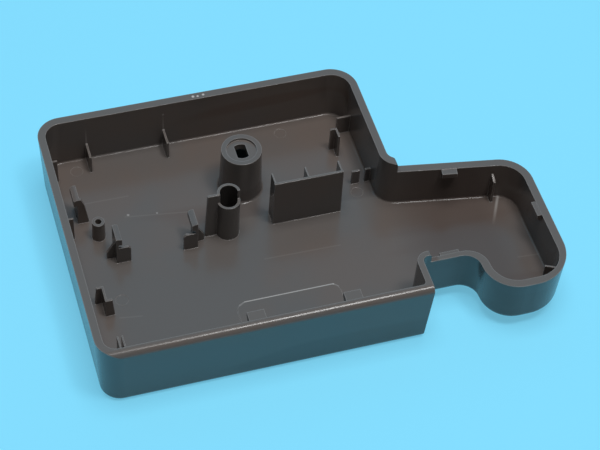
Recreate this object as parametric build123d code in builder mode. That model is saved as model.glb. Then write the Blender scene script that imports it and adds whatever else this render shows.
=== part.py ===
from build123d import *
from math import cos, radians, tan
import os

os.makedirs("parts", exist_ok=True)

# One-piece moulded housing: an open tray with an arm on its right side that hooks
# towards the front. The rim faces up. Lengths are in millimetres, drafts in degrees.
# Places in plan are measured from the tray's front left corner: x to the right along
# the front wall, y to the back. Heights are measured from the surface it stands on.

# Tray and arm, over their rims
tray_length = 133.1          # left wall to right wall
tray_depth = 120.1           # front wall to back wall
tray_height = 31.3           # standing surface to rim
arm_drop = 4.8               # the arm's rim lies this far below the tray's
arm_overhang = 3.6           # the arm's nose passes the front wall by this much
arm_width = 35.0             # across the nose
bay_width = 22.9             # front wall's right end to the nose
arm_root_y = 67.0            # where the arm's back wall leaves the right wall
arm_slant = 9.2              # the arm's back wall turns forward by this angle

# Bay between the tray and the nose
bay_depth = 16.6             # front wall to the back of the bay
bay_inset = 3.2              # the wall beside the bay stands in from the right wall

# Corners in plan, on the outer face
front_left_radius = 9.2
front_left_inner_radius = 4.8
back_left_radius = 9.8
back_right_radius = 11.0
arm_root_radius = 4.0
arm_back_radius = 13.0
nose_right_radius = 17.2
nose_right_inner_radius = 11.8
nose_left_radius = 13.6
bay_right_radius = 6.3
bay_left_radius = 2.5
shortest_straight = 0.2      # left between the bay's right corner and the nose's
tight_radius = 1.6           # the front wall's inner corner beside the bay
skirt_bend_radius = 20.0     # the skirt's two slight bends below the arm

# Walls and floor
front_wall = 3.6
back_wall = 3.3
side_wall = 3.1
bay_wall = 2.5
recess_wall = 2.1            # back of the bay
arm_wall = 3.2
skirt_wall = 3.6
floor_thickness = 3.6
floor_top = 7.95
outer_draft = 2.6
inner_draft = 1.0

# Rounded edges
front_roll_radius = 3.0      # outer edge of the front wall's rim
step_radius = 1.2            # top of the drop between the two rims
base_radius = 2.6
arm_base_radius = 3.2
floor_fillet = 0.8

# Drop between the rims
back_step_offset = 2.7       # right of the right wall
bay_step_offset = 4.1        # right of the bay's side wall

# Round boss with a counterbore and a hole with two flats
boss_x = 77.4
boss_y = 86.6
boss_top = 30.45
boss_top_radius = 8.15
boss_base_radius = 8.8
boss_foot_radius = 1.0
boss_shell = 2.4
boss_roof = 3.0
counterbore_radius = 6.1
counterbore_depth = 1.0
flat_hole_length = 7.5
flat_hole_width = 4.6

# Thin tube with a lowered front half, and the rib on its left
tube_x = 66.3
tube_y = 64.9
tube_radius = 4.6
tube_wall = 1.0
tube_top = 32.2
tube_front_top = 27.4
tube_rib_reach = 9.6         # from the tube's axis, at the floor
tube_rib_top = 32.0

# Screen: a plate along x with three ribs behind it
screen_x = 99.0
screen_y = 64.6
screen_length = 28.8         # at the floor
screen_thickness = 1.4
screen_top = 32.15
screen_rib_reach = 5.8
screen_rib_pitch = 13.65

# Small screw boss
screw_x = 16.0
screw_y = 74.9
screw_top = 17.3
screw_radius = 2.5
screw_base_radius = 2.7
pilot_radius = 1.3
pilot_depth = 9.0

# Ribs
rib_thickness = 1.0
rib_draft = 0.5
rib_root = 1.0               # how far a rib is let into the wall that carries it

# Ribs on the back wall
back_rib_1_x = 20.4
back_rib_2_x = 52.6
back_rib_reach = 8.3
back_rib_top = 16.8

# Ribs on the left wall
left_rib_back_setback = 13.0     # from the back wall's outer face
left_rib_front_y = 76.3
left_rib_reach = 3.4
left_rib_top = 20.5

# Ribs on the right wall, the post beside the front one, and the angled post
right_rib_back_setback = 15.1    # from the back wall's outer face
right_rib_back_reach = 6.2
right_rib_back_top = 17.2
right_rib_front_y = 77.0
right_rib_front_reach = 2.6
right_rib_front_top = 15.3
post_setback = 9.6           # from the right wall's outer face
post_length = 3.4
angle_post_setback_x = 11.7
angle_post_setback_y = 22.6
angle_post_leg_x = 3.0
angle_post_leg_y = 5.2
angle_post_top = 20.1

# Two thin ribs on the front wall
front_rib_1_x = 9.15
front_rib_pitch = 1.75
front_rib_reach = 7.2
front_rib_top = 28.8

# Ribs inside the arm; the nose rib stands in the corner and points to its centre
arm_rib_setback = 13.1       # from the arm's right wall
arm_rib_reach = 3.6
arm_rib_wall_top = 22.3
arm_rib_tip_top = 20.0
nose_rib_setback = 6.95
nose_rib_y = 5.8
nose_rib_length = 6.0
nose_rib_turn = -24.0
nose_rib_top = 22.3

# Snap clips: a blade along y with a hook along its top, and a plate across its front
clip_blade = 8.0
clip_top = 22.3
clip_hook_reach = 1.35
clip_hook_fall = 0.5         # the hook's top slopes down to its lip by this much
clip_hook_height = 3.5
clip_1_x = 10.0              # near the left wall, hook to the left
clip_1_y = 83.2
clip_1_foot = 4.0            # front plate's reach at the floor, away from the hook
clip_1_shoulder = 2.4
clip_1_shoulder_height = 18.7
clip_2_x = 20.4              # left one of a pair, hook to the right
clip_3_x = 52.3              # right one of the pair, hook to the left
clip_pair_y = 59.9
clip_plate_reach = 5.3       # front plate's reach at the floor, below the hook
clip_plate_top = 16.8
clip_foot_reach = 3.8
clip_foot_setback = 3.6      # the foot stands this far behind the front plate
clip_foot_tip = 11.7
clip_foot_top = 18.2

# Z-shaped clip near the front left corner
zig_x = 10.4
zig_back_y = 42.9
zig_front_y = 36.2
zig_leg = 3.2
zig_leg_top = 2.4
zig_top = 17.3

# Lugs under the rim
front_lug_1_x = 61.1
front_lug_2_x = 98.9
front_lug_length = 6.7
front_lug_reach = 4.2
arm_lug_offset = 23.5        # right of the right wall
arm_lug_length = 6.2
arm_lug_reach = 2.8
right_lug_y = 31.9
right_lug_length = 7.2
right_lug_reach = 1.9
bay_lug_offset = 12.7        # right of the bay's side wall
bay_lug_length = 7.8
bay_lug_reach = 1.5
lug_height = 2.0
lug_setback = 0.2            # top of a lug below its rim

# Raised pad on the floor against the front wall, and ejector pin marks
pad_left_x = 59.7
pad_right_x = 101.7
pad_back_y = 29.1
pad_radius = 4.0
pad_height = 0.3
pin_radius = 2.5
pin_depth = 0.1
back_pin_setback = 9.8       # from the back wall's outer face
back_pin_1_x = 14.7
back_pin_2_x = 101.3
right_pin_setback = 10.2     # from the right wall's outer face
right_pin_y = 71.8
left_pin_x = 17.7
left_pin_y = 41.9

# Sizes that follow from those above
bay_x = tray_length - bay_inset
arm_left_x = bay_x + bay_width
overall_length = arm_left_x + arm_width
origin_x = -overall_length / 2
origin_y = -(tray_depth - arm_overhang) / 2
underside = floor_top - floor_thickness
nose_left_room = bay_depth + arm_overhang - bay_right_radius - shortest_straight
nose_left_round = min(nose_left_radius, nose_left_room)
arm_rim = tray_height - arm_drop
arm_flare = arm_drop * tan(radians(outer_draft))
beyond = 10.0                # how far a cutter runs past what it cuts
standing = (Align.CENTER, Align.CENTER, Align.MIN)
hanging = (Align.CENTER, Align.CENTER, Align.MAX)


def level(height):
    """Horizontal plane whose origin stands under the tray's front left corner."""
    return Plane(origin=(origin_x, origin_y, height))


def across(y):
    """Upright plane along the front wall: local axes are x and height."""
    return Plane(origin=(origin_x, origin_y + y, 0), x_dir=(1, 0, 0), z_dir=(0, -1, 0))


def along(x):
    """Upright plane along the left wall: local axes are y and height."""
    return Plane(origin=(origin_x + x, origin_y, 0), x_dir=(0, 1, 0), z_dir=(1, 0, 0))


def arm_back(x, inset):
    """Where the arm's back wall face is at x, moved in by inset."""
    turn = radians(arm_slant)
    return arm_root_y - (x - tray_length) * tan(turn) - inset / cos(turn)


def plan(corners, radii):
    """Face inside a closed line through the corners, each rounded by its own radius."""
    with BuildSketch() as sketch:
        with BuildLine():
            FilletPolyline(*corners, radius=radii, close=True)
        make_face()
    return sketch.sketch


def outline(front, back, side, bay, recess, arm, nose_radius):
    """Plan of tray and arm together, each wall's face moved in by the given amount."""
    corners = [
        (side, front),
        (bay_x - bay, front),
        (bay_x - bay, bay_depth + recess),
        (arm_left_x + arm, bay_depth + recess),
        (arm_left_x + arm, arm - arm_overhang),
        (overall_length - arm, arm - arm_overhang),
        (overall_length - arm, arm_back(overall_length - arm, arm)),
        (tray_length - side, arm_back(tray_length - side, arm)),
        (tray_length - side, tray_depth - back),
        (side, tray_depth - back),
    ]
    radii = [
        front_left_inner_radius if side > 0 else front_left_radius,
        tight_radius if bay > 0 else 0,
        bay_left_radius + bay,
        bay_right_radius + recess,
        nose_left_round - arm,
        nose_radius,
        arm_back_radius - arm,
        arm_root_radius + side,
        back_right_radius - side,
        back_left_radius - side,
    ]
    return plan(corners, radii)


def tray_outline(inset):
    """Plan of the tray alone, as it goes on below the arm."""
    corners = [
        (inset, inset),
        (bay_x - inset, inset),
        (bay_x - inset, bay_depth),
        (tray_length - inset, arm_root_y),
        (tray_length - inset, tray_depth - inset),
        (inset, tray_depth - inset),
    ]
    radii = [
        front_left_radius - inset,
        0,
        skirt_bend_radius,
        skirt_bend_radius,
        back_right_radius - inset,
        back_left_radius - inset,
    ]
    return plan(corners, radii)


def drawn(face, height, reach, lean, rounding=0):
    """Block from a plan at the given height, up or down by reach, narrowing as it goes."""
    with BuildPart() as block:
        with BuildSketch(level(height)):
            add(face)
        extrude(amount=reach)
        walls = block.faces().filter_by(Axis.Z, reverse=True)
        draft(walls, level(height), lean if reach > 0 else -lean)
        if rounding:
            fillet(block.faces().sort_by(Axis.Z)[0].edges(), rounding)
    return block.part


def upright(plane, *points, thickness=rib_thickness):
    """Plate of the given side view, centred on its plane."""
    with BuildPart() as plate:
        with BuildSketch(plane):
            with BuildLine():
                Polyline(*points, close=True)
            make_face()
        extrude(amount=thickness / 2, both=True)
    return plate.part


def drafted(x, y, length, width, top, turn=0.0, base=floor_top):
    """Rib or block that stands on the floor and narrows upwards by the rib draft."""
    with BuildPart() as block:
        with BuildSketch(level(base)):
            with Locations(Location((x, y), turn)):
                Rectangle(length, width)
        extrude(amount=top - base, taper=rib_draft)
    return block.part


def back_rib(x):
    """Rib on the back wall."""
    root = tray_depth - back_wall + rib_root
    length = back_rib_reach + rib_root
    return drafted(x, root - length / 2, rib_thickness, length, back_rib_top)


def left_rib(y):
    """Rib on the left wall."""
    length = left_rib_reach + rib_root
    return drafted(side_wall - rib_root + length / 2, y, length, rib_thickness, left_rib_top)


def right_rib(y, reach, top):
    """Rib on the right wall."""
    length = reach + rib_root
    root = tray_length - side_wall + rib_root
    return drafted(root - length / 2, y, length, rib_thickness, top)


def front_rib(x):
    """Rib on the front wall."""
    length = front_rib_reach + rib_root
    return drafted(x, front_wall - rib_root + length / 2, rib_thickness, length, front_rib_top)


def snap_blade(x, y, side):
    """Blade of a snap clip from y backwards; its hook faces the given side, +1 or -1."""
    face = x + side * rib_thickness / 2
    lip = face + side * clip_hook_reach
    return upright(
        across(y + clip_blade / 2),
        (x - side * rib_thickness / 2, floor_top),
        (x - side * rib_thickness / 2, clip_top),
        (face, clip_top),
        (lip, clip_top - clip_hook_fall),
        (lip, clip_top - clip_hook_height),
        (face, clip_top - clip_hook_height),
        (face, floor_top),
        thickness=clip_blade,
    )


def lug(x, y, length, reach, rim, turn):
    """Lug inside a wall: flat on top, its underside rising towards its tip."""
    place = Plane(level(rim - lug_setback) * Location((x, y, 0), (0, 0, turn)))
    side_view = Plane(origin=place.origin, x_dir=place.y_dir, z_dir=place.x_dir)
    return upright(
        side_view,
        (-rib_root, 0),
        (reach, 0),
        (reach, -lug_height),
        (0, -lug_height - reach),
        (-rib_root, -lug_height - reach),
        thickness=length,
    )


with BuildPart() as housing:
    # Tray and arm down to the underside of the floor, and the tray down to its skirt
    body = outline(0, 0, 0, 0, -arm_flare, -arm_flare, nose_right_radius)
    add(drawn(body, tray_height, underside - tray_height, outer_draft, arm_base_radius))
    add(drawn(tray_outline(0), tray_height, -tray_height, outer_draft, base_radius))

    # Hollow above the floor
    inside = outline(
        front_wall,
        back_wall,
        side_wall,
        bay_wall,
        recess_wall,
        arm_wall,
        nose_right_inner_radius,
    )
    add(
        drawn(inside, tray_height, floor_top - tray_height, inner_draft, floor_fillet),
        mode=Mode.SUBTRACT,
    )

    # Hollow below the floor, inside the skirt
    skirt_inset = tray_height * tan(radians(outer_draft)) + skirt_wall
    add(drawn(tray_outline(skirt_inset), 0, underside, inner_draft), mode=Mode.SUBTRACT)

    # The arm's rim is lower: the drop at each wall starts with a round
    halfway = (arm_root_y + bay_depth) / 2
    for step_x, near, far in (
        (tray_length + back_step_offset, halfway, tray_depth),
        (bay_x + bay_step_offset, -arm_overhang - beyond, halfway),
    ):
        with BuildSketch(across(far)):
            with BuildLine():
                Polyline(
                    (step_x, tray_height - step_radius),
                    (step_x, arm_rim),
                    (overall_length + beyond, arm_rim),
                    (overall_length + beyond, tray_height + beyond),
                    (step_x - step_radius, tray_height + beyond),
                    (step_x - step_radius, tray_height),
                )
                TangentArc(
                    (step_x - step_radius, tray_height),
                    (step_x, tray_height - step_radius),
                    tangent=(1, 0),
                )
            make_face()
        extrude(amount=far - near, mode=Mode.SUBTRACT)

    # The front wall's rim rolls over to the outer face
    with BuildSketch(along(-beyond)):
        with BuildLine():
            Polyline(
                (front_roll_radius, tray_height),
                (front_roll_radius, tray_height + beyond),
                (-beyond, tray_height + beyond),
                (-beyond, tray_height - front_roll_radius),
                (0, tray_height - front_roll_radius),
            )
            TangentArc(
                (0, tray_height - front_roll_radius),
                (front_roll_radius, tray_height),
                tangent=(0, 1),
            )
        make_face()
    extrude(amount=bay_x + 2 * beyond, mode=Mode.SUBTRACT)

    # Raised pad on the floor and the marks left by the ejector pins
    with BuildSketch(level(floor_top)):
        with Locations(((pad_left_x + pad_right_x) / 2, pad_back_y / 2)):
            RectangleRounded(pad_right_x - pad_left_x, pad_back_y, pad_radius)
        with Locations((tray_length / 2, 0)):
            Rectangle(tray_length, 2 * front_wall, mode=Mode.SUBTRACT)
    extrude(amount=pad_height, taper=inner_draft)
    with BuildSketch(level(floor_top)):
        with Locations(
            (back_pin_1_x, tray_depth - back_pin_setback),
            (back_pin_2_x, tray_depth - back_pin_setback),
            (tray_length - right_pin_setback, right_pin_y),
            (left_pin_x, left_pin_y),
        ):
            Circle(pin_radius)
    extrude(amount=-pin_depth, mode=Mode.SUBTRACT)

    # Round boss, cored from below so that its wall stays even
    with Locations(level(floor_top) * Location((boss_x, boss_y, 0))):
        Cone(boss_base_radius, boss_top_radius, boss_top - floor_top, align=standing)
    feet = housing.edges().filter_by(GeomType.CIRCLE)
    fillet(feet.filter_by(lambda foot: foot.radius == boss_base_radius), boss_foot_radius)
    with Locations(level(boss_top) * Location((boss_x, boss_y, 0))):
        Cylinder(counterbore_radius, counterbore_depth, align=hanging, mode=Mode.SUBTRACT)
    core_top = boss_top - counterbore_depth - boss_roof
    with Locations(level(underside) * Location((boss_x, boss_y, 0))):
        Cone(
            boss_base_radius - boss_shell,
            boss_top_radius - boss_shell,
            core_top - underside,
            align=standing,
            mode=Mode.SUBTRACT,
        )
    with BuildSketch(level(core_top)):
        with Locations((boss_x, boss_y)):
            Circle(flat_hole_length / 2)
            Rectangle(flat_hole_width, flat_hole_length, mode=Mode.INTERSECT)
    extrude(amount=boss_top - core_top, mode=Mode.SUBTRACT)

    # Thin tube, its front half cut lower, with a rib on its left
    add(
        upright(
            across(tube_y),
            (tube_x, floor_top),
            (tube_x, tube_rib_top),
            (tube_x - tube_rib_reach + rib_thickness, tube_rib_top),
            (tube_x - tube_rib_reach, floor_top),
        )
    )
    with BuildSketch(level(floor_top)):
        with Locations((tube_x, tube_y)):
            Circle(tube_radius)
    extrude(amount=tube_front_top - floor_top)
    with BuildSketch(level(tube_front_top)):
        with Locations((tube_x, tube_y)):
            Circle(tube_radius)
            with Locations((0, tube_radius)):
                Rectangle(2 * tube_radius, 2 * tube_radius, mode=Mode.INTERSECT)
    extrude(amount=tube_top - tube_front_top)
    with BuildSketch(level(floor_top)):
        with Locations((tube_x, tube_y)):
            Circle(tube_radius - tube_wall)
    extrude(amount=tube_top - floor_top, mode=Mode.SUBTRACT)

    # Screen with its three ribs
    add(drafted(screen_x, screen_y, screen_length, screen_thickness, screen_top))
    for step in (-1, 0, 1):
        rib_x = screen_x + step * screen_rib_pitch
        add(drafted(rib_x, screen_y + screen_rib_reach / 2, rib_thickness, screen_rib_reach, screen_top))

    # Small screw boss
    with Locations(level(floor_top) * Location((screw_x, screw_y, 0))):
        Cone(screw_base_radius, screw_radius, screw_top - floor_top, align=standing)
    with Locations(level(screw_top) * Location((screw_x, screw_y, 0))):
        Cylinder(pilot_radius, pilot_depth, align=hanging, mode=Mode.SUBTRACT)

    # Ribs on the walls
    for x in (back_rib_1_x, back_rib_2_x):
        add(back_rib(x))
    for y in (tray_depth - left_rib_back_setback, left_rib_front_y):
        add(left_rib(y))
    add(right_rib(tray_depth - right_rib_back_setback, right_rib_back_reach, right_rib_back_top))
    add(right_rib(right_rib_front_y, right_rib_front_reach, right_rib_front_top))
    for x in (front_rib_1_x, front_rib_1_x + front_rib_pitch):
        add(front_rib(x))

    # Post beside the right wall's front rib, and the angled post behind it
    post_x = tray_length - post_setback
    angle_post_x = tray_length - angle_post_setback_x
    angle_post_y = tray_depth - angle_post_setback_y
    add(drafted(post_x, right_rib_front_y, post_length, rib_thickness, right_rib_front_top))
    add(
        drafted(
            angle_post_x - angle_post_leg_x / 2,
            angle_post_y - rib_thickness / 2,
            angle_post_leg_x,
            rib_thickness,
            angle_post_top,
        )
    )
    add(
        drafted(
            angle_post_x - rib_thickness / 2,
            angle_post_y - angle_post_leg_y / 2,
            rib_thickness,
            angle_post_leg_y,
            angle_post_top,
        )
    )

    # Ribs inside the arm
    arm_rib_x = overall_length - arm_rib_setback
    rib_wall_y = arm_back(arm_rib_x, arm_wall)
    add(
        upright(
            along(arm_rib_x),
            (rib_wall_y + rib_root, floor_top),
            (rib_wall_y + rib_root, arm_rib_wall_top),
            (rib_wall_y - arm_rib_reach, arm_rib_tip_top),
            (rib_wall_y - arm_rib_reach, floor_top),
        )
    )
    nose_rib_x = overall_length - nose_rib_setback
    add(drafted(nose_rib_x, nose_rib_y, nose_rib_length, rib_thickness, nose_rib_top, nose_rib_turn))

    # Snap clip near the left wall, its front plate stiffening it from the right
    add(snap_blade(clip_1_x, clip_1_y, -1))
    add(
        upright(
            across(clip_1_y + rib_thickness / 2),
            (clip_1_x, floor_top),
            (clip_1_x, clip_top),
            (clip_1_x + rib_thickness, clip_top),
            (clip_1_x + clip_1_shoulder, clip_1_shoulder_height),
            (clip_1_x + clip_1_foot, floor_top),
        )
    )

    # Pair of snap clips facing each other: a low plate below each hook, a foot behind
    for x, side in ((clip_2_x, 1), (clip_3_x, -1)):
        add(snap_blade(x, clip_pair_y, side))
        plate_tip = x + side * clip_plate_reach
        add(
            upright(
                across(clip_pair_y + rib_thickness / 2),
                (x, floor_top),
                (plate_tip, floor_top),
                (plate_tip, clip_plate_top - rib_thickness),
                (plate_tip - side * rib_thickness, clip_plate_top),
                (x, clip_plate_top),
            )
        )
        add(
            upright(
                across(clip_pair_y + clip_foot_setback),
                (x, floor_top),
                (x - side * clip_foot_reach, floor_top),
                (x - side * clip_foot_reach, clip_foot_tip),
                (x, clip_foot_top),
            )
        )

    # Z-shaped clip
    zig_middle_y = (zig_back_y + zig_front_y) / 2
    zig_blade = zig_back_y - zig_front_y + rib_thickness
    add(drafted(zig_x, zig_middle_y, rib_thickness, zig_blade, zig_top))
    for y, side in ((zig_back_y, -1), (zig_front_y, 1)):
        add(
            upright(
                across(y),
                (zig_x, floor_top),
                (zig_x + side * zig_leg, floor_top),
                (zig_x + side * zig_leg_top, zig_top),
                (zig_x, zig_top),
            )
        )

    # Lugs just below the rim
    for x in (front_lug_1_x, front_lug_2_x):
        add(lug(x, front_wall, front_lug_length, front_lug_reach, tray_height, 0))
    arm_lug_x = tray_length + arm_lug_offset
    arm_lug_y = arm_back(arm_lug_x, arm_wall)
    add(lug(arm_lug_x, arm_lug_y, arm_lug_length, arm_lug_reach, arm_rim, 180 - arm_slant))
    add(lug(overall_length - arm_wall, right_lug_y, right_lug_length, right_lug_reach, arm_rim, 90))
    bay_lug_x = bay_x + bay_lug_offset
    add(lug(bay_lug_x, bay_depth + recess_wall, bay_lug_length, bay_lug_reach, arm_rim, 0))

housing.part.label = "housing"
export_step(housing.part, "parts/housing.step")
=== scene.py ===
# %% [markdown]
# A moulded plastic housing, dressed for its picture. The solid comes from the CAD model and is
# the frame: it stays where it is and keeps its shape. This script gives it its finish, a floor
# to stand on, soft light and a camera. It is one moulding, so there is one plastic to make, and
# most of the work is in the small marks that tell how it was moulded and handled.

import bpy
import numpy as np
from mathutils import Matrix, Vector

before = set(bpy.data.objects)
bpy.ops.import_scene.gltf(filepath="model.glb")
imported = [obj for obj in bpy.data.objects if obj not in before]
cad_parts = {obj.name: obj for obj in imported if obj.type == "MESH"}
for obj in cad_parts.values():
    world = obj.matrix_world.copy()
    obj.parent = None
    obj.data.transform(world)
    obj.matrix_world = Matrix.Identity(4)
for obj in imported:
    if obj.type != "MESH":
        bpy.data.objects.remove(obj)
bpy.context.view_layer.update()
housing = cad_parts["housing"]
print("housing triangles:", len(housing.data.polygons))

# %% [markdown]
# The camera looks down into the open side from the front left. It stands well back and its lens
# is long, so the walls stay nearly parallel. It is turned a little about its own axis.

# %% Camera direction
view_azimuth = np.radians(19.879)  # turned from straight ahead (+Y) towards +X
view_elevation = np.radians(50.835)  # looking down by this much
view_roll = np.radians(4.424)

forward = np.array(
    [
        np.sin(view_azimuth) * np.cos(view_elevation),
        np.cos(view_azimuth) * np.cos(view_elevation),
        -np.sin(view_elevation),
    ]
)
level_right = np.array([np.cos(view_azimuth), -np.sin(view_azimuth), 0.0])
level_up = np.cross(level_right, forward)
right = np.cos(view_roll) * level_right + np.sin(view_roll) * level_up
up = -np.sin(view_roll) * level_right + np.cos(view_roll) * level_up
print("looking along", np.round(forward, 4))

# %% [markdown]
# The columns of a camera's matrix are its own right, up and backward directions and its place.
# The lens is written in pixels of the picture's width, and Blender wants it in millimetres of
# the sensor's width, so it is scaled by the ratio of the two.


# %% Camera
def into_scene(name, data):
    """New object that carries data, linked into the scene."""
    thing = bpy.data.objects.new(name, data)
    bpy.context.scene.collection.objects.link(thing)
    return thing


MM = 0.001
view_distance = 740.937 * MM
view_target = np.array([-5.014, -15.241, 31.3]) * MM
focal_pixels = 1915.756
picture_width = 600
sensor_width = 36.0
nearest_seen = 0.05

camera_data = bpy.data.cameras.new("camera")
camera_data.sensor_width = sensor_width
camera_data.lens = focal_pixels / picture_width * sensor_width
camera_data.clip_start = nearest_seen
camera = into_scene("camera", camera_data)
place = np.eye(4)
place[:3, 0], place[:3, 1], place[:3, 2] = right, up, -forward
place[:3, 3] = view_target - view_distance * forward
camera.matrix_world = Matrix(place.tolist())
bpy.context.scene.camera = camera
print("camera at", np.round(place[:3, 3], 4), "with a lens of", round(camera_data.lens, 1), "mm")

# %% [markdown]
# Shader maths is easier to read as an expression than as a tree of boxes. A Socket wraps one
# output of a node, and each operator adds the Math node that works it out. The reflected forms,
# such as __rsub__, are for a plain number on the left, as in 1 - mask.


# %% Sockets
class Socket:
    """One output of a node. Operators on it add Math nodes to the same tree."""

    def __init__(self, tree, output):
        self.tree = tree
        self.output = output

    def beside(self, name):
        """Another output of the same node."""
        return Socket(self.tree, self.output.node.outputs[name])

    def _math(self, operation, *values):
        return self.tree.node("ShaderNodeMath", {"operation": operation}, dict(enumerate(values)))

    def __add__(self, other):
        return self._math("ADD", self, other)

    __radd__ = __add__

    def __sub__(self, other):
        return self._math("SUBTRACT", self, other)

    def __rsub__(self, other):
        return self._math("SUBTRACT", other, self)

    def __mul__(self, other):
        return self._math("MULTIPLY", self, other)

    __rmul__ = __mul__

    def __truediv__(self, other):
        return self._math("DIVIDE", self, other)

    def root(self):
        """Square root."""
        return self._math("SQRT", self)

    def or_more(self, other):
        """The larger of the two."""
        return self._math("MAXIMUM", self, other)


print("a Socket takes + - * / and plain numbers on either side")

# %% [markdown]
# Materials and the world both hold a tree of nodes. One method adds any node: its settings come
# first, because some of them decide which inputs the node has.


# %% Node trees
class Tree:
    """The node tree of a material or a world."""

    def __init__(self, owner):
        owner.use_nodes = True
        self.nodes = owner.node_tree.nodes
        self.links = owner.node_tree.links

    def node(self, kind, settings=None, inputs=None, output=0):
        """Adds a node and returns one of its outputs. Inputs go by name or number."""
        made = self.nodes.new(kind)
        for key, value in (settings or {}).items():
            setattr(made, key, value)
        for key, value in (inputs or {}).items():
            self.feed(made.inputs[key], value)
        return Socket(self, made.outputs[output])

    def feed(self, target, value):
        """Links a Socket to an input, or sets a plain value on it."""
        if isinstance(value, Socket):
            self.links.new(value.output, target)
        else:
            target.default_value = value


class Finish(Tree):
    """A material, with its Principled shader at hand."""

    def __init__(self, name):
        self.material = bpy.data.materials.new(name)
        super().__init__(self.material)
        self.surface = self.nodes["Principled BSDF"]

    def set(self, **values):
        """Sets or links inputs of the shader, with _ for a space in their names."""
        for key, value in values.items():
            self.feed(self.surface.inputs[key.replace("_", " ")], value)


plastic = Finish("plastic")
print("a new finish starts with", [node.name for node in plastic.nodes])

# %% [markdown]
# The housing is one moulding in dark grey-brown plastic. Nothing on it is painted: its look is
# the faint mottle of the resin, the fine grain that the mould gives it, and the sheen that its
# faces take from what is round them. The patterns are procedural and read Object coordinates, so
# they keep their place on the part from any side. For marks in known places it helps to have
# coordinates in millimetres from the tray's front left corner, the way the part's own drawing is
# dimensioned.

# %% Coordinates for the marks
mm_per_metre = 1000
corner_x, corner_y = 93.9, 58.25  # the corner is this far left of and before the origin
place_in_part = plastic.node("ShaderNodeTexCoord", output="Object")
apart = plastic.node("ShaderNodeSeparateXYZ", inputs={0: place_in_part})
mark_x = apart.beside("X") * mm_per_metre + corner_x
mark_y = apart.beside("Y") * mm_per_metre + corner_y
mark_z = apart.beside("Z") * mm_per_metre
print("marks are measured from", (-corner_x, -corner_y), "mm in the part's frame")

# %% [markdown]
# Every pattern here is a mask that blends one colour into another. A Map Range node makes the
# mask from any value: a coordinate, a distance or a noise. The limits of a fade may come in
# either order, so it can keep what is inside a distance or what is above a height.


# %% Masks, colours and noise
def fade(value, full, none, curve="SMOOTHSTEP"):
    """1 where value is at full or past it, 0 where it is at none, and a curve between."""
    limits = {"Value": value, "From Min": none, "From Max": full}
    return value.tree.node("ShaderNodeMapRange", {"interpolation_type": curve}, limits)


def blend(mask, low, high, clamped=True):
    """Colour that goes from low to high as mask goes from 0 to 1, and past it if not clamped."""
    kind = {"data_type": "RGBA", "clamp_factor": clamped}
    factor, first, second, result = 0, 6, 7, 2  # where a Mix node keeps its colours
    return mask.tree.node("ShaderNodeMix", kind, {factor: mask, first: low, second: high}, result)


def noise(per_metre, detail=2.0, stretch=(1, 1, 1)):
    """Noise with so many cells to the metre, drawn out along the axes where stretch is below 1."""
    mapped = plastic.node("ShaderNodeMapping", inputs={"Vector": place_in_part, "Scale": stretch})
    pattern = {"Vector": mapped, "Scale": per_metre, "Detail": detail}
    return plastic.node("ShaderNodeTexNoise", inputs=pattern)


print("a fade is a Map Range node, a blend is a Mix node")

# %% [markdown]
# The resin runs across the mould and cools unevenly, which leaves faint warm and cool patches: a
# low-contrast noise. Over them lies a thin haze. It comes from a noise stretched along the flow
# and is missing where that noise peaks, so a few darker streaks run the same way. A noise keeps
# close to a half, and the limits of its fade lie round there.

# %% Resin
cool_resin = (0.078, 0.069, 0.065, 1)
warm_resin = (0.091, 0.067, 0.056, 1)
haze_colour = (0.115, 0.105, 0.098, 1)
haze_share = 0.35
patches_per_metre, streaks_per_metre = 22.0, 60.0
along_flow = (0.12, 1.0, 1.0)

patches = fade(noise(patches_per_metre, detail=3.0), 0.66, 0.40)
haze = fade(noise(streaks_per_metre, detail=1.0, stretch=along_flow), 0.62, 0.70)
resin = blend(patches, cool_resin, warm_resin)
resin = blend(haze * haze_share, resin, haze_colour)
print("resin from", cool_resin[:3], "to", warm_resin[:3])

# %% [markdown]
# The arm is darker and browner than the tray. Towards its end, by its right wall, that darkening
# eases off: a painted lift of light where the wall shades the arm's floor. Rims are painted paler,
# a painted highlight for the light that their open tops catch. The tray's rim and the arm's lower
# one are each told by their height, and the arm's by its side of the part too.

# %% Arm and rims
arm_colour = (0.062, 0.047, 0.041, 1)
# The second share is a painted lift of light near the arm's end, where its right wall shades the
# floor.
arm_share, end_painted_lift = 0.7, 0.6
past_tray = fade(mark_x, 150.0, 126.0)
near_end = fade(mark_x, 180.0, 166.0)
in_arm = past_tray * (1 - end_painted_lift * near_end)
resin = blend(in_arm * arm_share, resin, arm_colour)

# Painted highlight: the tops of the rims are painted paler for the light they catch.
rim_highlight_colour = (0.098, 0.086, 0.079, 1)
tray_height, arm_height = 31.3, 26.5
highlight_full_depth, highlight_gone_depth = 0.1, 0.5  # depths below the top
tray_rim = fade(mark_z, tray_height - highlight_full_depth, tray_height - highlight_gone_depth)
right_of_tray = fade(mark_x, 138.0, 136.5)
arm_rim = fade(mark_z, arm_height - highlight_full_depth, arm_height - highlight_gone_depth) * right_of_tray
resin = blend(tray_rim.or_more(arm_rim), resin, rim_highlight_colour)
print("rims at", tray_height, "and", arm_height, "mm")

# %% [markdown]
# Marks in known places are made of distances in plan: from a point for a round one, and from a
# segment for a straight one, where the place along the segment is clamped to its two ends.


# %% Distances
def square(value):
    """Value times itself."""
    return value * value


def distance(x, y):
    """Distance in plan from a point, by Pythagoras."""
    return (square(mark_x - x) + square(mark_y - y)).root()


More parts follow.
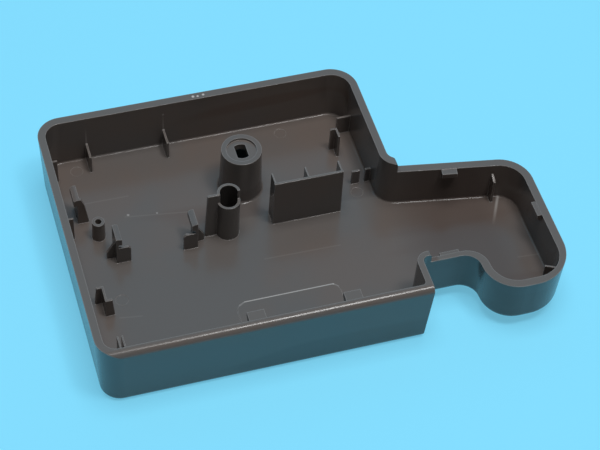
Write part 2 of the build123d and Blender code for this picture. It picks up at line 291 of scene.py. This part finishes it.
def off_line(x0, y0, x1, y1):
    """Distance in plan from a segment: from the point at the clamped share of its length."""
    dx, dy = x1 - x0, y1 - y0
    share = ((mark_x - x0) * dx + (mark_y - y0) * dy) / (dx * dx + dy * dy)
    share = plastic.node("ShaderNodeClamp", inputs={0: share})
    return (square(mark_x - x0 - share * dx) + square(mark_y - y0 - share * dy)).root()


def spots(*places):
    """Round marks added up, each given by its x, y, full radius and outer radius."""
    return sum(fade(distance(x, y), core, edge) for x, y, core, edge in places)


def strokes(core, edge, *segments):
    """Straight marks added up, full within core of their segments and gone at edge."""
    return sum(fade(off_line(*ends), core, edge) for ends in segments)


print("distances are in mm")

# %% [markdown]
# The thin tube stands open and its bore is nearly black, because little light gets down there and
# out again. Its inside is darkened below the lip, which stands higher in the back half.

# %% Tube bore
bore_colour = (0.02, 0.018, 0.017, 1)
bore_share = 0.8
tube_x, tube_y = 66.3, 64.9
bore_radius, wall_middle = 3.7, 4.2
front_lip, back_lip_rise = 27.3, 4.8

in_tube = fade(distance(tube_x, tube_y), bore_radius, wall_middle)
back_half = fade(mark_y, tube_y + 0.2, tube_y - 0.2)
below_lip = fade(mark_z - back_lip_rise * back_half, front_lip - 0.4, front_lip)
resin = blend(in_tube * below_lip * bore_share, resin, bore_colour)
print("tube bore dark below", front_lip, "and", front_lip + back_lip_rise, "mm")

# %% [markdown]
# Small pale marks tell that the moulding was made and handled: on the floor there are two dots and
# a few faint flow lines. Painted light goes with them: a painted highlight along the back edge and
# corners of the raised pad, and a pale streak in the arm that is a painted reflection of a
# highlight on the arm's wall. A mask by height keeps them off the walls and ribs that stand over
# them.
# Each kind of mark is multiplied by its strength as they are added up.

# %% Marks and painted light on the floor
floor_height = 7.95
on_floor = fade(mark_z, floor_height + 0.4, floor_height + 0.9)

dots = spots((29.7, 82.8, 0.3, 0.7), (41.2, 81.0, 0.2, 0.5))
# Painted highlight along the back edge of the raised pad and round its corners.
pad_edge_highlight = strokes(0.15, 0.5, (63.6, 29.1, 99.6, 29.1))
pad_corner_highlights = strokes(0.1, 0.4, (61.0, 27.6, 63.4, 29.0), (99.8, 29.0, 101.3, 27.6))
# Painted reflection: a pale streak on the arm's floor mirrors a highlight on the arm's wall,
# fading towards the front.
reflected_streak = strokes(0.1, 0.9, (178.2, 55.2, 171.8, 42.5)) * fade(mark_y, 56.0, 40.0)
flow_lines = strokes(
    0.05,
    0.5,
    (13.8, 92.7, 31.9, 92.5),
    (28.3, 82.1, 53.7, 78.5),
    (15.0, 33.7, 23.4, 32.5),
    (77.0, 47.7, 108.0, 47.1),
    (175.4, 23.7, 183.8, 23.1),
)
pad_highlights = pad_edge_highlight * 1.6 + pad_corner_highlights * 0.6
floor_marks_and_highlights = (dots + pad_highlights + reflected_streak + flow_lines * 0.14) * on_floor
print("marks on the floor at height", floor_height, "mm")

# %% [markdown]
# Where a rib joins the back wall the plastic is thick, cools last and sinks. That shows as a pale
# upright line on the wall above each of the two ribs, fading upwards, with a dot over the second.
# The rim above is scuffed in three spots.

# %% Marks on the back wall and its rim
rib_places = (20.4, 52.6)
dot_x, dot_z = 52.6, 25.6
on_back_wall = fade(mark_y, 115.9, 115.4) * fade(mark_y, 117.4, 118.0)

sink_lines = sum(fade(square(mark_x - rib_x), 0.02, 0.20) for rib_x in rib_places)
sink_lines = sink_lines * fade(mark_z, 17.0, 27.5) * on_back_wall
sink_dot = fade(square(mark_x - dot_x) + square(mark_z - dot_z), 0.1, 0.35) * on_back_wall
scuffs = spots((65.6, 118.4, 0.35, 0.75), (67.5, 118.2, 0.25, 0.65), (69.9, 118.5, 0.3, 0.7))
wall_marks = sink_lines * 0.45 + sink_dot * 0.6 + scuffs * tray_rim * 2.5
print("sink lines above the ribs at", rib_places, "mm, scuffs on the rim")

# %% [markdown]
# Sharp edges are painted paler, a painted highlight for the light that a rounded edge catches, on
# inner edges as on outer ones. They need no list of places: a Bevel node gives the normal that a
# rounded edge would have, and the dot product with the face's own normal is 1 on a flat face and
# falls where the rounded normal turns away. The marks may add up to more than 1, which makes a
# scuff brighter than a highlighted edge, so this blend isn't clamped.


# %% Painted edge highlights and colour
def rounded(radius_mm):
    """Normal of the surface as if its edges were rounded by this radius."""
    return plastic.node("ShaderNodeBevel", {"samples": 6}, {"Radius": radius_mm * MM})


pale_mark_and_highlight_colour = (0.22, 0.205, 0.195, 1)
edge_highlight_share = 0.9
flat = plastic.node("ShaderNodeNewGeometry", output="Normal")
agreement = {"operation": "DOT_PRODUCT"}
turned = plastic.node("ShaderNodeVectorMath", agreement, {0: rounded(0.6), 1: flat}, "Value")
# Painted highlight on every sharp edge.
highlighted = fade(turned, 0.84, 0.98)
marks = floor_marks_and_highlights + wall_marks + highlighted * edge_highlight_share
colour = blend(marks, resin, pale_mark_and_highlight_colour, clamped=False)
print("worn edges and marks go towards", pale_mark_and_highlight_colour[:3])

# %% [markdown]
# The grain is far too fine for the mesh, so it goes into the normal, through a Bump node. Its own
# normal comes from a Bevel node, which rounds every sharp edge by a third of a millimetre where
# the light is worked out, as a moulded edge is, and the mesh stays as it is.

# %% Plastic
grain = noise(3500.0)
relief = {"Strength": 0.12, "Distance": 0.05 * MM, "Height": grain, "Normal": rounded(0.35)}
bump = plastic.node("ShaderNodeBump", inputs=relief)
plastic.set(Base_Color=colour, Roughness=0.23, IOR=1.5, Normal=bump)
housing.data.materials.clear()
housing.data.materials.append(plastic.material)
print("plastic nodes:", len(plastic.nodes))

# %% [markdown]
# The ground is a plain pale blue sheet, large enough to fill the picture from any side.

# %% Floor
floor_size = 6.0
half = floor_size / 2
corners = [(-half, -half, 0), (half, -half, 0), (half, half, 0), (-half, half, 0)]
floor_mesh = bpy.data.meshes.new("floor")
floor_mesh.from_pydata(corners, [], [(0, 1, 2, 3)])
floor = into_scene("floor", floor_mesh)
paper = Finish("paper")
paper.set(Base_Color=(0.22, 0.68, 0.93, 1), Roughness=0.8)
floor_mesh.materials.append(paper.material)
print("floor", floor_size, "m square")

# %% [markdown]
# Lit paper alone would be uneven and deep in shadow round the part. So where the camera or a
# reflection sees it, it is partly a glowing sheet of one even blue, and the rest of it is lit
# paper, which keeps the shadow. Light Path tells such rays from those that light the part. Under
# the large boss nothing glows, or it would shine up through the boss's hole.

# %% Even ground
glow_colour = (0.225, 0.695, 0.94, 1)
glow_share = 0.6
boss_centre = ((77.4 - corner_x) * MM, (86.6 - corner_y) * MM, 0.0)
dark_radius, glow_radius = 10 * MM, 14 * MM

lit = Socket(paper, paper.surface.outputs[0])
glow = paper.node("ShaderNodeEmission", inputs={"Color": glow_colour, "Strength": 1.0})
on_paper = paper.node("ShaderNodeTexCoord", output="Object")
ends = {0: on_paper, 1: boss_centre}
off_boss = paper.node("ShaderNodeVectorMath", {"operation": "DISTANCE"}, ends, "Value")
open_ground = fade(off_boss, glow_radius, dark_radius, "LINEAR")
seen_ray = paper.node("ShaderNodeLightPath", output="Is Camera Ray")
share = (seen_ray + seen_ray.beside("Is Glossy Ray")) * open_ground * glow_share
seen = paper.node("ShaderNodeMixShader", inputs={0: share, 1: lit, 2: glow})
paper.feed(paper.nodes["Material Output"].inputs["Surface"], seen)
print("the ground glows from", glow_radius / MM, "mm off the boss")

# %% [markdown]
# Dark glossy plastic shows its surroundings more than its own colour. The sky is a dim grey room
# with a blue side behind the part, as if the paper swept up there, and faces that point up or
# back take their cool sheen from it. Its direction comes from the world's own coordinates.

# %% Sky
room_colour = (0.07, 0.07, 0.07, 1)
sweep_colour = (0.16, 0.45, 0.65, 1)
world = bpy.data.worlds.new("studio")
sky = Tree(world)
toward = sky.node("ShaderNodeTexCoord", output="Generated")
behind = sky.node("ShaderNodeSeparateXYZ", inputs={0: toward}).beside("Y")
sweep = fade(behind, 0.6, 0.2)
background = sky.nodes["Background"]
sky.feed(background.inputs["Color"], blend(sweep, room_colour, sweep_colour))
sky.feed(background.inputs["Strength"], 1.0)
bpy.context.scene.world = world
print("sky from", room_colour[:3], "to", sweep_colour[:3])

# %% [markdown]
# One large soft box overhead lights everything. It is hidden from reflections, because seen from
# straight above it would lie mirrored in every floor and rim and turn them pale. A small soft box
# to the front right isn't hidden, and edges that face it get a bright line.


# %% Lamps
def soft_box(name, position, size, power):
    """Square area light that faces the part's place on the floor."""
    data = bpy.data.lights.new(name, "AREA")
    data.shape = "SQUARE"
    data.size = size
    data.energy = power
    lamp = into_scene(name, data)
    lamp.location = position
    lamp.rotation_mode = "QUATERNION"
    lamp.rotation_quaternion = (-Vector(position)).to_track_quat("-Z", "Y")
    print(name, "power", power, "W")
    return lamp


overhead = soft_box("overhead", (0.0, -0.05, 1.6), 0.8, 20.5)
overhead.visible_glossy = False
soft_box("catch light", (0.35, -0.36, 1.52), 0.3, 7.0)

# %% [markdown]
# The Standard view shows each colour as it is written.

# %% View
bpy.context.scene.view_settings.view_transform = "Standard"
